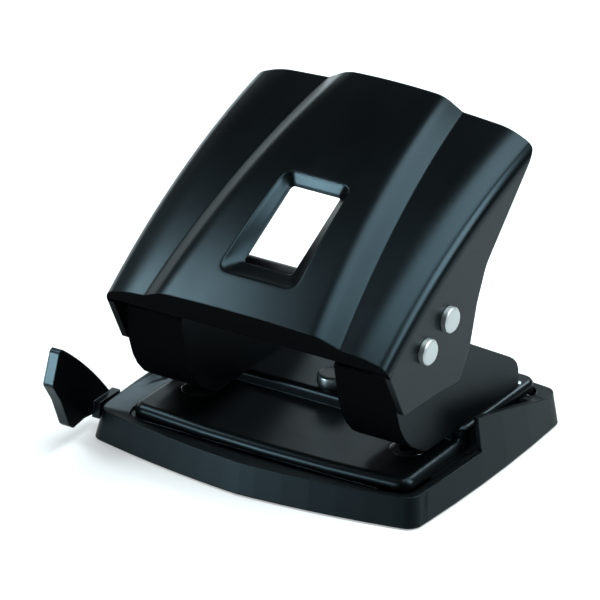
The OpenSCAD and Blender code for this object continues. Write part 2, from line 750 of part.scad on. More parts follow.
module pivot_pin(side) {
  groove_x = bracket_in - 1;
  color([0.82, 0.84, 0.86])
    on_side(side) {
      difference() {
        rod_x(bracket_in - 2, lever_half + head_gap + eps, pivot_y, pivot_z, pin_d / 2);
        translate([groove_x, pivot_y, pivot_z]) rotate([0, 90, 0])
          difference() {
            cylinder(h = 0.8, r = pin_d, $fn = 48);
            cylinder(h = 0.8, r = pin_d / 2 - 0.6, $fn = 48);
          }
      }
      translate([lever_half + head_gap, pivot_y, pivot_z]) pin_head();
    }
}

// Spring clip in the groove at the pin's inner end.
module pivot_clip(side)
  color([0.5, 0.51, 0.53])
    on_side(side)
      translate([bracket_in - 0.95, pivot_y, pivot_z]) rotate([0, 90, 0]) linear_extrude(height = 0.7)
        difference() {
          circle(r = pin_d / 2 + 2, $fn = 48);
          circle(r = pin_d / 2 - 0.55, $fn = 48);
          translate([0, -(pin_d / 2 - 1)]) square([pin_d * 2, pin_d - 2]);
        }

module drive_shaft()
  color([0.82, 0.84, 0.86]) {
    rod_x(-lever_half - head_gap - eps, lever_half + head_gap + eps, drive_y, drive_z, pin_d / 2);
    for (side = [-1, 1])
      on_side(side) translate([lever_half + head_gap, drive_y, drive_z]) pin_head();
  }

// ---- the nodes -------------------------------------------------------------------------------

chip_tray();
non_slip_mat();
guide_click_spring();
paper_guide();
table_plate();
end_rivet(-1);  // end_rivet_left
end_rivet(1);  // end_rivet_right
bracket(-1);  // bracket_left
bracket(1);  // bracket_right
bracket_rivets(-1);  // bracket_rivets_left
bracket_rivets(1);  // bracket_rivets_right
centre_stud();
die_ring(-1);  // die_left
die_ring(1);  // die_right
punch_bush(-1);  // punch_bush_left
punch_bush(1);  // punch_bush_right
punch_spring(-1);  // punch_spring_left
punch_spring(1);  // punch_spring_right
pivot_pin(-1);  // pivot_pin_left
pivot_pin(1);  // pivot_pin_right
pivot_clip(-1);  // pivot_clip_left
pivot_clip(1);  // pivot_clip_right
lever();
drive_shaft();
punch(-1);  // punch_left
punch(1);  // punch_right
spring_cup(-1);  // spring_cup_left
spring_cup(1);  // spring_cup_right
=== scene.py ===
from math import asin, cos, pi, radians, sin, tan

import bmesh
import bpy
from mathutils import Matrix, Vector


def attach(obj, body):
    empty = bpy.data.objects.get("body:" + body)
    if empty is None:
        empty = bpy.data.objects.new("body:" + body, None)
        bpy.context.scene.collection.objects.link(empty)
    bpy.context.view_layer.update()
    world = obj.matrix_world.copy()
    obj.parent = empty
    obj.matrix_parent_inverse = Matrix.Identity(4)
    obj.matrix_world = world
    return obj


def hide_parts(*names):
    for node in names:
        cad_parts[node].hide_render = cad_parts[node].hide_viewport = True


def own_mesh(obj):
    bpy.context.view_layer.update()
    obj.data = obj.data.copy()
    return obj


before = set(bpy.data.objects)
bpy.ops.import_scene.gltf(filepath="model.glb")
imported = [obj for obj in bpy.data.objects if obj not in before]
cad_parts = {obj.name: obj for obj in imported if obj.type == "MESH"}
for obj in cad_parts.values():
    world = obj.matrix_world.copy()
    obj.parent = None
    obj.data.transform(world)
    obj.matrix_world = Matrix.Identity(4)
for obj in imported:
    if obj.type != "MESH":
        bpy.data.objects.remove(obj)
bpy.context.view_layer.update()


# ---- chip tray --------------------------------------------------------------------------------
# The base of the punch, one injection moulding in black plastic with drafted outer walls. Its
# skin is finely spark-eroded, uneven in sheen, and a little paler along its rubbed edges.

class Wire:
    """A socket inside one finish. Arithmetic on wires adds the Math nodes it stands for."""

    def __init__(self, finish, socket):
        self.finish, self.socket = finish, socket

    def math(self, operation, first, second):
        return self.finish.node("ShaderNodeMath", {"operation": operation}, {0: first, 1: second})

    def __add__(self, other):
        return self.math("ADD", self, other)

    def __radd__(self, other):
        return self.math("ADD", other, self)

    def __sub__(self, other):
        return self.math("SUBTRACT", self, other)

    def __rsub__(self, other):
        return self.math("SUBTRACT", other, self)

    def __mul__(self, other):
        return self.math("MULTIPLY", self, other)

    def __rmul__(self, other):
        return self.math("MULTIPLY", other, self)

    def above(self, low, high):
        """0 below low, 1 above high, and a smooth rise between them."""
        return self.finish.node("ShaderNodeMapRange", {"interpolation_type": "SMOOTHSTEP"},
                                {"Value": self, "From Min": low, "From Max": high})


class Finish:
    """A material, built from nodes that are added one at a time. Sizes in it are in metres."""

    def __init__(self, name):
        self.material = bpy.data.materials.new(name)
        self.material.use_nodes = True
        self.tree = self.material.node_tree
        self.tree.nodes.clear()
        self.place = self.node("ShaderNodeTexCoord", output="Object")

    def node(self, kind, settings=None, inputs=None, output=0):
        """One node of a kind: its settings come first, then its sockets' values or links."""
        made = self.tree.nodes.new(kind)
        for name, value in (settings or {}).items():
            setattr(made, name, value)
        for name, value in (inputs or {}).items():
            socket = made.inputs[name]
            if isinstance(value, Wire):
                self.tree.links.new(value.socket, socket)
            else:
                socket.default_value = value
        return Wire(self, made.outputs[output]) if made.outputs else None

    def noise(self, size, detail, stretch=(1, 1, 1)):
        """Soft random values around 0.5, whose lumps are about size across."""
        at = self.node("ShaderNodeMapping", None, {"Vector": self.place, "Scale": stretch})
        return self.node("ShaderNodeTexNoise", None,
                         {"Vector": at, "Scale": 0.5 / size, "Detail": detail})

    def along(self, axis):
        """The piece's own X, Y or Z coordinate."""
        return self.node("ShaderNodeSeparateXYZ", None, {0: self.place}, output=axis)

    def mix(self, share, first, second):
        """The first colour where the share is 0, the second where it is 1."""
        def colour(value):
            return value if isinstance(value, Wire) else (*value, 1.0)
        return self.node("ShaderNodeMix", {"data_type": "RGBA"},
                         {0: share, 6: colour(first), 7: colour(second)}, output=2)

    def rolled_edge(self, radius):
        """The surface direction with every sharp edge rounded by that radius."""
        return self.node("ShaderNodeBevel", {"samples": 6}, {"Radius": radius})

    def edge_mask(self, radius):
        """1 on sharp edges, 0 on open surface."""
        faint_turn, full_turn = 0.01, 0.2
        true = self.node("ShaderNodeNewGeometry", output="Normal")
        same = self.node("ShaderNodeVectorMath", {"operation": "DOT_PRODUCT"},
                         {0: self.rolled_edge(radius), 1: true}, output="Value")
        return (1.0 - same).above(faint_turn, full_turn)

    def bump(self, height, depth, normal, strength):
        """The surface direction, tilted by a relief of that depth."""
        return self.node("ShaderNodeBump", None, {"Height": height, "Distance": depth,
                                                  "Strength": strength, "Normal": normal})

    def surface(self, **sockets):
        """Closes the finish with its shader. Underscores stand for spaces in socket names."""
        shader = self.node("ShaderNodeBsdfPrincipled", None,
                           {name.replace("_", " "): value for name, value in sockets.items()})
        self.node("ShaderNodeOutputMaterial", None, {"Surface": shader})
        return self.material


cool_gloss = (0.60, 0.87, 1.0, 1.0)


def black_moulding(name, sheen, grain, gloss, polished=None):
    """Black plastic out of an eroded mould with grain of that size. polished is the axis, and the
    range along it over which hands have made the plastic glossier."""
    deep_black, soft_black = (0.0020, 0.0026, 0.0029), (0.0030, 0.0038, 0.0042)
    rubbed_black = (0.016, 0.019, 0.021)
    plastic = Finish(name)
    patches = plastic.noise(size=0.03, detail=3.0)
    smears = plastic.noise(size=0.006, detail=4.0, stretch=(1.0, 0.35, 1.0))
    pits = plastic.noise(size=grain, detail=1.5)
    edge = plastic.edge_mask(radius=0.0005)
    rough = sheen + (patches - 0.5) * 0.10 + (smears - 0.5) * 0.08
    if polished:
        axis, start, end = polished
        rough = rough - plastic.along(axis).above(start, end) * 0.05
    rough = rough - edge * 0.04
    tone = plastic.mix(patches.above(0.3, 0.7), deep_black, soft_black)
    tone = plastic.mix(edge * 0.5, tone, rubbed_black)
    skin = plastic.bump(pits, depth=0.00002, normal=plastic.rolled_edge(0.0006), strength=0.35)
    return plastic.surface(Base_Color=tone, Roughness=rough, Normal=skin,
                           Specular_IOR_Level=gloss, Specular_Tint=cool_gloss)


def from_frame(node, name, body, finish, second=None, where=None):
    """A piece with a CAD node's shape: welded, smooth on its curves and flat on its flats. A
    second finish goes on the faces that pass the test."""
    same_place, same_plane, sharp_turn = 2e-6, radians(0.2), radians(32)
    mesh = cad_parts[node].data.copy()
    mesh.name = name
    mesh.materials.clear()
    for material in (finish, second) if second else (finish,):
        mesh.materials.append(material)
    weld = bmesh.new()
    weld.from_mesh(mesh)
    bmesh.ops.remove_doubles(weld, verts=weld.verts, dist=same_place)
    bmesh.ops.dissolve_limit(weld, angle_limit=same_plane, verts=weld.verts, edges=weld.edges)
    for face in weld.faces:
        face.material_index = 1 if second and where(face) else 0
    weld.to_mesh(mesh)
    weld.free()
    mesh.shade_smooth()
    mesh.set_sharp_from_angle(angle=sharp_turn)
    piece = bpy.data.objects.new(name, mesh)
    bpy.context.scene.collection.objects.link(piece)
    level = piece.modifiers.new("flat faces stay flat", "WEIGHTED_NORMAL")
    level.keep_sharp = True
    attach(piece, body)
    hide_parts(node)


tray_black = black_moulding("tray_black", sheen=0.36, grain=0.00022, gloss=0.28)
from_frame("chip_tray", "tray_moulding", "base", tray_black)


# ---- rubber mat -------------------------------------------------------------------------------
# Die-cut sheet rubber glued into a recess under the tray. Matt, slightly dusty, with the fine
# weave that the calender leaves in its face.

rubber = Finish("mat_rubber")
clean_rubber, dusty_rubber = (0.012, 0.012, 0.012), (0.035, 0.034, 0.032)
weave = (rubber.noise(size=0.0009, detail=1.0, stretch=(1, 6, 1)) * 0.5
         + rubber.noise(size=0.0009, detail=1.0, stretch=(6, 1, 1)) * 0.5)
dust = rubber.noise(size=0.02, detail=4.0).above(0.45, 0.75)
mat_rubber = rubber.surface(
    Base_Color=rubber.mix(dust * 0.6, clean_rubber, dusty_rubber),
    Roughness=0.78 + dust * 0.14,
    Normal=rubber.bump(weave, depth=0.0001, normal=rubber.rolled_edge(0.0003), strength=0.6))
from_frame("non_slip_mat", "mat", "base", mat_rubber)


# ---- click spring and sheet guide -------------------------------------------------------------
# The guide is a bar with an upright fin, moulded in the same black plastic as the tray. A bent
# leaf of spring steel between two posts drops into its notches.

def worked_steel(name, colour, rough, marks=(0.0004, (1, 1, 1), 0.00001), wear=0.5, tarnish=0.3,
                 uneven=0.14):
    """Bare or plated steel. marks is the size, the stretch and the depth of what its making left
    in its face, wear brightens its edges, tarnish darkens it, and uneven varies its roughness."""
    tarnished = tuple(0.62 * c for c in colour)
    worn = tuple(min(1.0, 1.25 * c + 0.03) for c in colour)
    mark_size, mark_stretch, mark_depth = marks
    steel = Finish(name)
    cloud = steel.noise(size=0.008, detail=4.0)
    fine = steel.noise(size=mark_size, detail=2.0, stretch=mark_stretch)
    edge = steel.edge_mask(radius=0.0003)
    tone = steel.mix(cloud.above(0.45, 0.8) * tarnish, colour, tarnished)
    tone = steel.mix(edge * wear, tone, worn)
    return steel.surface(
        Base_Color=tone, Metallic=1.0,
        Roughness=rough + (cloud - 0.5) * uneven + (fine - 0.5) * uneven,
        Normal=steel.bump(fine, mark_depth, normal=steel.rolled_edge(0.0002), strength=0.4))


drawn = (0.00035, (1, 1, 8), 0.00001)
spring_steel = worked_steel("spring_steel", (0.50, 0.51, 0.53), 0.24, marks=drawn)
from_frame("guide_click_spring", "click_leaf", "base", spring_steel)

guide_black = black_moulding("guide_black", sheen=0.33, grain=0.0002, gloss=0.45)
from_frame("paper_guide", "guide_bar", "guide", guide_black)


# ---- table plate ------------------------------------------------------------------------------
# Pressed sheet steel with a rolled front edge and a step that the sheet stops against, held to
# the tray by a rivet at each rear corner. Powder coated black, baked to a half gloss.

def black_coat(name, rough, gloss):
    """Powder coat: a glossy film with the faint ripple that it takes on as it melts."""
    fresh_coat, rubbed_coat = (0.0022, 0.0028, 0.0031), (0.012, 0.014, 0.015)
    coat = Finish(name)
    ripple = coat.noise(size=0.0018, detail=2.0)
    haze = coat.noise(size=0.02, detail=3.0)
    rub = coat.noise(size=0.004, detail=5.0, stretch=(0.25, 1.0, 1.0)).above(0.55, 0.8)
    edge = coat.edge_mask(radius=0.0005)
    return coat.surface(
        Base_Color=coat.mix(edge * 0.35, fresh_coat, rubbed_coat),
        Roughness=rough + (haze - 0.5) * 0.08 + rub * 0.05,
        Normal=coat.bump(ripple, depth=0.00003, normal=coat.rolled_edge(0.0005), strength=0.25),
        Specular_Tint=cool_gloss, Specular_IOR_Level=gloss)


plate_coat = black_coat("plate_coat", rough=0.34, gloss=0.3)
from_frame("table_plate", "punching_table", "frame", plate_coat)

zinc = worked_steel("zinc_plate", (0.36, 0.40, 0.42), 0.38)
for side in ("left", "right"):
    from_frame(f"end_rivet_{side}", f"corner_rivet_{side}", "frame", zinc)


# ---- brackets ---------------------------------------------------------------------------------
# Each punch runs in a channel folded from one blank of sheet steel, coated like the table but
# duller, and held down by phosphated rivets. Its faces turned to the front get a near glossless
# copy of the coat as painted shade.

bracket_coat = black_coat("bracket_coat", rough=0.45, gloss=0.3)
# A near glossless copy of the bracket coat, for the faces turned to the front: painted shade.
shaded_nose_coat = black_coat("shaded_nose_coat", rough=0.6, gloss=0.02)
facing_front = -0.3
phosphated = worked_steel("phosphated_steel", (0.16, 0.165, 0.17), 0.46, tarnish=0.5)
for side in ("left", "right"):
    from_frame(f"bracket_{side}", f"channel_{side}", "frame", bracket_coat,
               second=shaded_nose_coat, where=lambda face: face.normal.y < facing_front)
    from_frame(f"bracket_rivets_{side}", f"foot_rivets_{side}", "frame", phosphated)


# ---- stud -------------------------------------------------------------------------------------
# A turned and zinc-plated stud in the middle of the table, with fine rings from the lathe round
# its side, and its top coloured near black and not metallic.

stud = Finish("stud_zinc")
stud_shoulder, stud_top = 0.0194, 0.0199
zinc_tone, near_black_top = (0.30, 0.36, 0.38), (0.020, 0.024, 0.026)
rings = stud.noise(size=0.0006, detail=2.0, stretch=(1, 1, 12))
dark_top = stud.along("Z").above(stud_shoulder, stud_top)
stud_zinc = stud.surface(
    Base_Color=stud.mix(dark_top, zinc_tone, near_black_top), Metallic=1.0 - dark_top,
    Roughness=0.36 + (rings - 0.5) * 0.2, Specular_IOR_Level=0.3,
    Normal=stud.bump(rings, depth=0.00001, normal=stud.rolled_edge(0.0003), strength=0.4))
from_frame("centre_stud", "table_stud", "frame", stud_zinc)


# ---- dies, bushes, punches and cups -----------------------------------------------------------
# Turned tool steel. The dies and punches are ground, so they carry fine rings; the bushes are
# left dark from hardening, and the cups are pressed and zinc plated.

ground_rings = (0.00035, (1, 1, 30), 0.000008)
ground = worked_steel("ground_steel", (0.56, 0.57, 0.58), 0.22, marks=ground_rings)
for side in ("left", "right"):
    from_frame(f"die_{side}", f"die_ring_{side}", "frame", ground)
    from_frame(f"punch_bush_{side}", f"bush_{side}", "frame", phosphated)
    from_frame(f"punch_{side}", f"cutter_{side}", f"punch_{side}", ground)
    from_frame(f"spring_cup_{side}", f"cup_{side}", f"punch_{side}", zinc)


# ---- punch springs ----------------------------------------------------------------------------
# Compression springs coiled from round wire, with a closed turn at each end. They push the cups
# and the punches back up, and are squeezed by the stroke.

def coil_tree():
    """Geometry nodes: a wire along a coil whose end turns touch their neighbours."""
    points_a_turn, points_round_wire = 40, 12
    tree = bpy.data.node_groups.new("coil", "GeometryNodeTree")
    sizes = {"Coil radius": 0.00515, "Wire": 0.0013, "Length": 0.0291, "Turns": 9.0}
    for name, value in sizes.items():
        socket = tree.interface.new_socket(name, in_out="INPUT", socket_type="NodeSocketFloat")
        socket.default_value = value
    tree.interface.new_socket("Finish", in_out="INPUT", socket_type="NodeSocketMaterial")
    tree.interface.new_socket("Mesh", in_out="OUTPUT", socket_type="NodeSocketGeometry")
    given = tree.nodes.new("NodeGroupInput").outputs

    def node(kind, settings=None, **inputs):
        """One node, with its sockets by name, or by number after an underscore."""
        made = tree.nodes.new(kind)
        for name, value in (settings or {}).items():
            setattr(made, name, value)
        for name, value in inputs.items():
            number = name.removeprefix("_")
            socket = made.inputs[int(number) if number.isdigit() else name.replace("_", " ")]
            if isinstance(value, bpy.types.NodeSocket):
                tree.links.new(value, socket)
            else:
                socket.default_value = value
        return made.outputs

    def math(operation, first, second):
        return node("ShaderNodeMath", {"operation": operation}, _0=first, _1=second)[0]

    def rise(share, start, end, height):
        return node("ShaderNodeMapRange", Value=share, From_Min=start, From_Max=end,
                    To_Max=height)[0]

    path = node("GeometryNodeCurveSpiral", Resolution=points_a_turn, Rotations=given["Turns"],
                Start_Radius=given["Coil radius"], End_Radius=given["Coil radius"], Height=0.0)[0]
    share = node("GeometryNodeSplineParameter")[0]
    first_turn = math("DIVIDE", 1.0, given["Turns"])
    last_turn = math("SUBTRACT", 1.0, first_turn)
    free = math("SUBTRACT", given["Length"], math("MULTIPLY", given["Wire"], 2.0))
    height = math("ADD", rise(share, first_turn, last_turn, free),
                  math("ADD", rise(share, 0.0, first_turn, given["Wire"]),
                       rise(share, last_turn, 1.0, given["Wire"])))
    raised = node("GeometryNodeSetPosition", Geometry=path,
                  Offset=node("ShaderNodeCombineXYZ", Z=height)[0])[0]
    ring = node("GeometryNodeCurvePrimitiveCircle", Resolution=points_round_wire,
                Radius=math("DIVIDE", given["Wire"], 2.0))[0]
    tube = node("GeometryNodeCurveToMesh", Curve=raised, Profile_Curve=ring, Fill_Caps=True)[0]
    smooth = node("GeometryNodeSetShadeSmooth", _0=tube, _2=True)[0]
    solid = node("GeometryNodeRealizeInstances", Geometry=smooth)[0]
    painted = node("GeometryNodeSetMaterial", Geometry=solid, Material=given["Finish"])[0]
    tree.links.new(painted, tree.nodes.new("NodeGroupOutput").inputs[0])
    return tree


def evaluated_mesh(piece):
    """The mesh that a piece's modifiers make of it. The piece itself is taken away."""
    depsgraph = bpy.context.evaluated_depsgraph_get()
    mesh = bpy.data.meshes.new_from_object(piece.evaluated_get(depsgraph))
    bpy.data.objects.remove(piece)
    return mesh


coil = coil_tree()
coil_finish = worked_steel("spring_wire", (0.42, 0.43, 0.45), 0.26, marks=drawn)
spring_low, spring_length, stroke, wire_lift = 0.0185, 0.0305, 0.0065, 0.0007
hole_pitch = 0.08
for side, middle in (("left", -hole_pitch / 2), ("right", hole_pitch / 2)):
    stock = bpy.data.objects.new("coil_stock", bpy.data.meshes.new("coil_stock"))
    bpy.context.scene.collection.objects.link(stock)
    maker = stock.modifiers.new("coil", "NODES")
    maker.node_group = coil
    for item in coil.interface.items_tree:
        if item.name == "Finish":
            maker[item.identifier] = coil_finish
    wound = evaluated_mesh(stock)
    wound.transform(Matrix.Translation((middle, 0.0, spring_low + wire_lift)))
    spring = bpy.data.objects.new(f"return_spring_{side}", wound)
    bpy.context.scene.collection.objects.link(spring)
    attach(spring, "frame")
    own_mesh(spring)
    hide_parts(f"punch_spring_{side}")


# ---- pivot pins, clips and drive shaft --------------------------------------------------------
# Steel pins whose nickel-plated heads show on the lever's sides. The clips on their inner ends
# are hardened and dark. The shaft is nickel at its two heads and coloured like the clips between
# them.

nickel = worked_steel("nickel_plate", (0.50, 0.53, 0.53), 0.52, wear=0.2, tarnish=0.04,
                      uneven=0.04)
shaft_head = 0.05
for side in ("left", "right"):
    from_frame(f"pivot_pin_{side}", f"pin_{side}", "frame", nickel)
    from_frame(f"pivot_clip_{side}", f"clip_{side}", "frame", phosphated)
from_frame("drive_shaft", "cross_shaft", "lever", nickel, second=phosphated,
           where=lambda face: abs(face.calc_center_median().x) < shaft_head)


# ---- lever ------------------------------------------------------------------------------------
# One thin moulding over both punches: an arched crown between two sloping strips, side panels
# that roll over into skirts, and a window with a bevelled frame. Black plastic, satin outside
# and matt inside. The front flange and other faces turned down get the same dull finish as
# painted shade. It swings on the pivot pins, which pass through its skirts.

def rounded(corners, radii, arc, straight):
    """A row of corner points, each inner corner rounded by its radius in so many steps, and each
    straight stretch between them in so many."""
    points = [Vector(corners[0])]
    for before, corner, after, radius in zip(corners, corners[1:], corners[2:], radii):
        before, corner, after = Vector(before), Vector(corner), Vector(after)
        inward, outward = (corner - before).normalized(), (after - corner).normalized()
        reach = radius * tan(inward.angle(outward, 0.0) / 2)
        start, end = corner - inward * reach, corner + outward * reach
        for step in range(1, straight):
            points.append(points[-1].lerp(start, 1 / (straight - step + 1)))
        for share in (step / arc for step in range(arc + 1)):
            points.append(start * (1 - share) ** 2 + corner * (2 * share * (1 - share))
                          + end * share ** 2)
    start, end = points[-1], Vector(corners[-1])
    return points + [start.lerp(end, step / straight) for step in range(1, straight + 1)]


def crossing(ring, direction):
    """Where a ray from the middle crosses a flat ring."""
    parallel, slack = 1e-12, 1e-6
    for a, b in zip(ring, ring[1:]):
        edge = b - a
        cross = direction.x * edge.y - direction.y * edge.x
        if abs(cross) < parallel:
            continue
        far = (a.x * edge.y - a.y * edge.x) / cross
        share = (a.x * direction.y - a.y * direction.x) / cross
        if far > 0 and -slack <= share <= 1 + slack:
            return direction * far
    raise ValueError("the ray meets no edge of the ring")


class LeverSkin:
    """The lever's outer face in millimetres, as points and the faces between them. A place on it
    is a width from the middle, a radius from the arch's axis, and a turn round that axis."""

    # the arch, the crown's fall to its sides, half the width, and the wall behind the face
    arch_r, arch_y, arch_z = 271.5, 122.0, -154.4
    camber, half, wall = 870.0, 53.6, 2.2

    # each strip: its height, its distance from the middle at one turn, how it tapers and slopes
    step, step_x, taper, mid = 4.8, 27.4, radians(5.5), radians(25.8)
    slope, top_in = 1.9, 3.4

    # the corners of a section, outwards from the crown, how each is rounded, and how far the
    # panels' own arch lies behind and above the crown's
    crown_in, knee_in, knee_drop, edge_drop, crease_drop = 6.5, 10, 0.6, 4, 8.6
    section_radii, section_arc, section_straight = (14.0, 1.8, 29.0, 6.0), 8, 3
    panel_back, panel_up = 1.493, 1.097

    # the leaning front edge and its flange, the bowed rear edge, and the turns they lie between
    lean, front_y, front_z, flange_low = radians(27), -38.8, 64.36, 54.0
    rear_y, rear_bow = 55.8, 1.8
    first_turn, last_turn = radians(8), radians(48)
    rows, across = 72, 28

    # the skirts, seen from the side: the rear line, the rest of the outline, and the two bores
    rear_line = ((24.8, 69.6), (51.8, 96.5), (65.8, 112.0))
    skirt_low, skirt_line = 36.0, ((-4, 35.7), (9, 34.5), (15.1, 44.5), (19.4, 58.5))
    skirt_radii = (2, 2, 2, 12, 12, 14)
    bores = ((-12.0, 54.0, 3.06), (1.2, 60.0, 3.02))

    # the window: the turn it is at, its size, and each ring's rear reach, front reach and radius
    window_at, window_w, window_l = radians(28.65), 18.6, 33.0
    bevel_outer, bevel_inner, bevel_hole = (3.3, 7.0, 4.5), (0.35, 0.35, 1.8), (0.0, 0.0, 1.5)
    corner_spread, bevel_deep = 0.8, 3.4

    # the ribs under the crown: place, half thickness, lowest and highest radius, turns
    rib_x, rib_half, rib_low, rib_high = 22.0, 0.9, 262.5, 269.0
    rib_start, rib_sweep, rib_steps = 16.5, 18.5, 32

    def __init__(self):
        self.points, self.faces = [], []

    def add(self, rows):
        """Faces between neighbouring rows of points."""
        start = len(self.points)
        wide = len(rows[0])
        for row in rows:
            self.points.extend(row)
        for i in range(len(rows) - 1):
            for j in range(wide - 1):
                a = start + i * wide + j
                self.faces.append((a, a + 1, a + wide + 1, a + wide))

    def crown(self, x):
        """The crown's radius at a distance from the middle."""
        return self.arch_r - x * x / self.camber

    def place(self, x, r, turn):
        return Vector((x, self.arch_y - r * sin(turn), self.arch_z + r * cos(turn)))

    def section(self, turn):
        """From the crown's edge out to the skirt: width and radius at one turn of the arch."""
        along = self.arch_r * sin(turn - self.mid)
        x_mid = self.step_x / cos(self.taper) + along * tan(self.taper)
        panel = self.arch_r - self.step + self.panel_up * cos(turn) - self.panel_back * sin(turn)
        mid_r = self.arch_r - self.step / 2
        x_top = x_mid - self.slope * (self.crown(x_mid - self.top_in) - mid_r)
        x_low = x_mid + self.slope * (mid_r - panel)
        x_crown = x_top - self.crown_in
        corners = [(x_crown, self.crown(x_crown)), (x_top, self.crown(x_top)), (x_low, panel),
                   (self.half - self.knee_in, panel - self.knee_drop),
                   (self.half, panel - self.edge_drop), (self.half, panel - self.crease_drop)]
        return rounded(corners, self.section_radii, self.section_arc, self.section_straight)

    def inside(self, point):
        """Whether a point lies in front of the rear edge and above the skirt's rear line."""
        x, y, z = point
        if y > self.rear_y - self.rear_bow * (x / self.half) ** 2:
            return False
        for (y0, z0), (y1, z1) in zip(self.rear_line, self.rear_line[1:]):
            if y0 <= y <= y1:
                return z >= z0 + (z1 - z0) * (y - y0) / (y1 - y0)
        return True

    def front_at(self, z):
        """Where the leaning front edge is at a height."""
        return self.front_y + (self.front_z - z) * tan(self.lean)

    def behind_front(self, point):
        return point.y > self.front_at(point.z)

    def limit(self, spot, low, high, keep):
        """The turn between low, which keeps the test true, and high at which it stops."""
        for _ in range(40):
            middle = (low + high) / 2
            if keep(spot(middle)):
                low = middle
            else:
                high = middle
        return low

    def span(self, spot):
        """The turns at which a line along the arch meets the rear edge and the front edge."""
        rear = self.limit(spot, self.mid, self.first_turn, self.inside)
        front = self.limit(spot, self.mid, self.last_turn, self.behind_front)
        return rear, front

    def columns(self, side):
        """One side from the crown's edge to below the crease, as rows from rear to front."""
        spots = []
        for k in range(len(self.section(self.mid))):
            def spot(turn, k=k):
                x, r = self.section(turn)[k]
                return self.place(side * x, r, turn)
            spots.append((spot, *self.span(spot)))
        return [[spot(rear + (front - rear) * j / self.rows) for spot, rear, front in spots]
                for j in range(self.rows + 1)]

    def crown_row(self, edge, end):
        """The points between the crown's two edges, at its rear end, 0, or its front end, 1."""
        row = []
        for i in range(1, self.across):
            x = edge * (1 - 2 * i / self.across)

            def spot(turn, x=x):
                return self.place(x, self.crown(x), turn)
            row.append(spot(self.span(spot)[end]))
        return row

    def window_ring(self, rear, front, radius):
        """The window's outline, made larger at its rear and its front, as points on a flat."""
        w, h = self.window_w / 2, self.window_l / 2
        rear_w, rear_h = w + rear, h + rear
        front_w, front_h = w + front * self.corner_spread, h + front
        corners = [(0.0, rear_h), (-rear_w, rear_h), (-front_w, -front_h), (front_w, -front_h),
                   (rear_w, rear_h), (0.0, rear_h)]
        return rounded(corners, (radius,) * 4, arc=12, straight=2)

    def window_rings(self, border):
        """Rings of points from the crown's border in to the window, then down its bevel."""
        out = Vector((0, -sin(self.window_at), cos(self.window_at)))
        upward = Vector((0, cos(self.window_at), sin(self.window_at)))
        middle = Vector((0, self.arch_y, self.arch_z)) + out * self.arch_r

        def flat(point):
            turn = asin((self.arch_y - point.y) / self.crown(point.x))
            return Vector((point.x, (self.window_at - turn) * self.arch_r))

        def on_crown(spot):
            return self.place(spot[0], self.crown(spot[0]), self.window_at - spot[1] / self.arch_r)

        def sunk(spot, depth):
            return middle + Vector((spot[0], 0, 0)) + upward * spot[1] - out * depth

        def crown_depth(spot):
            return (spot[0] ** 2 / self.camber) + spot[1] ** 2 / (2 * self.arch_r)

        flat_border = [flat(point) for point in border]
        rays = [spot.normalized() for spot in flat_border]
        outer, inner, hole = ([crossing(ring, ray) for ray in rays] for ring in (
            self.window_ring(*self.bevel_outer), self.window_ring(*self.bevel_inner),
            self.window_ring(*self.bevel_hole)))

        # across the crown, round a soft shoulder, down the straight bevel, and into the hole
        crown_shares = (0.1, 0.2, 0.3, 0.4, 0.5, 0.6, 0.7, 0.8, 0.87)
        shoulder = ((-0.07, 0.00), (-0.03, 0.015), (0.02, 0.07), (0.08, 0.22), (0.14, 0.46))
        bevel_shares = (0.35, 0.6, 0.85, 1.0)
        hole_drops = (0.2, 0.5, 0.8)
        rings = [border]
        for share in crown_shares:
            rings.append([on_crown(a.lerp(b, share)) for a, b in zip(flat_border, outer)])
        for share, drop in shoulder:
            spots = [a.lerp(b, share) for a, b in zip(outer, inner)]
            rings.append([sunk(spot, crown_depth(spot) + drop) for spot in spots])
        bevel_share, bevel_drop = shoulder[-1]
        for share in bevel_shares:
            ring = []
            for a, b in zip(outer, inner):
                start = crown_depth(a.lerp(b, bevel_share)) + bevel_drop
                part = (self.bevel_deep - start) * (share - bevel_share) / (1 - bevel_share)
                ring.append(sunk(a.lerp(b, share), start + part))
            rings.append(ring)
        for drop in hole_drops:
            rings.append([sunk(spot, self.bevel_deep + drop) for spot in hole])
        return [ring + ring[:1] for ring in rings]

    def rib_rows(self, middle):
        """Four corners of a rib, at each step along it."""
        corners = ((-self.rib_half, self.rib_low), (self.rib_half, self.rib_low),
                   (self.rib_half, self.rib_high), (-self.rib_half, self.rib_high))
        turns = (radians(self.rib_start + self.rib_sweep * step / self.rib_steps)
                 for step in range(self.rib_steps + 1))
        return [[self.place(middle + x, r, turn) for x, r in corners] for turn in turns]


def closed_edges(build, points):
    """A closed loop of edges through points in millimetres."""
    verts = [build.verts.new(point / 1000) for point in points]
    return [build.edges.new((a, b)) for a, b in zip(verts, verts[1:] + verts[:1])]


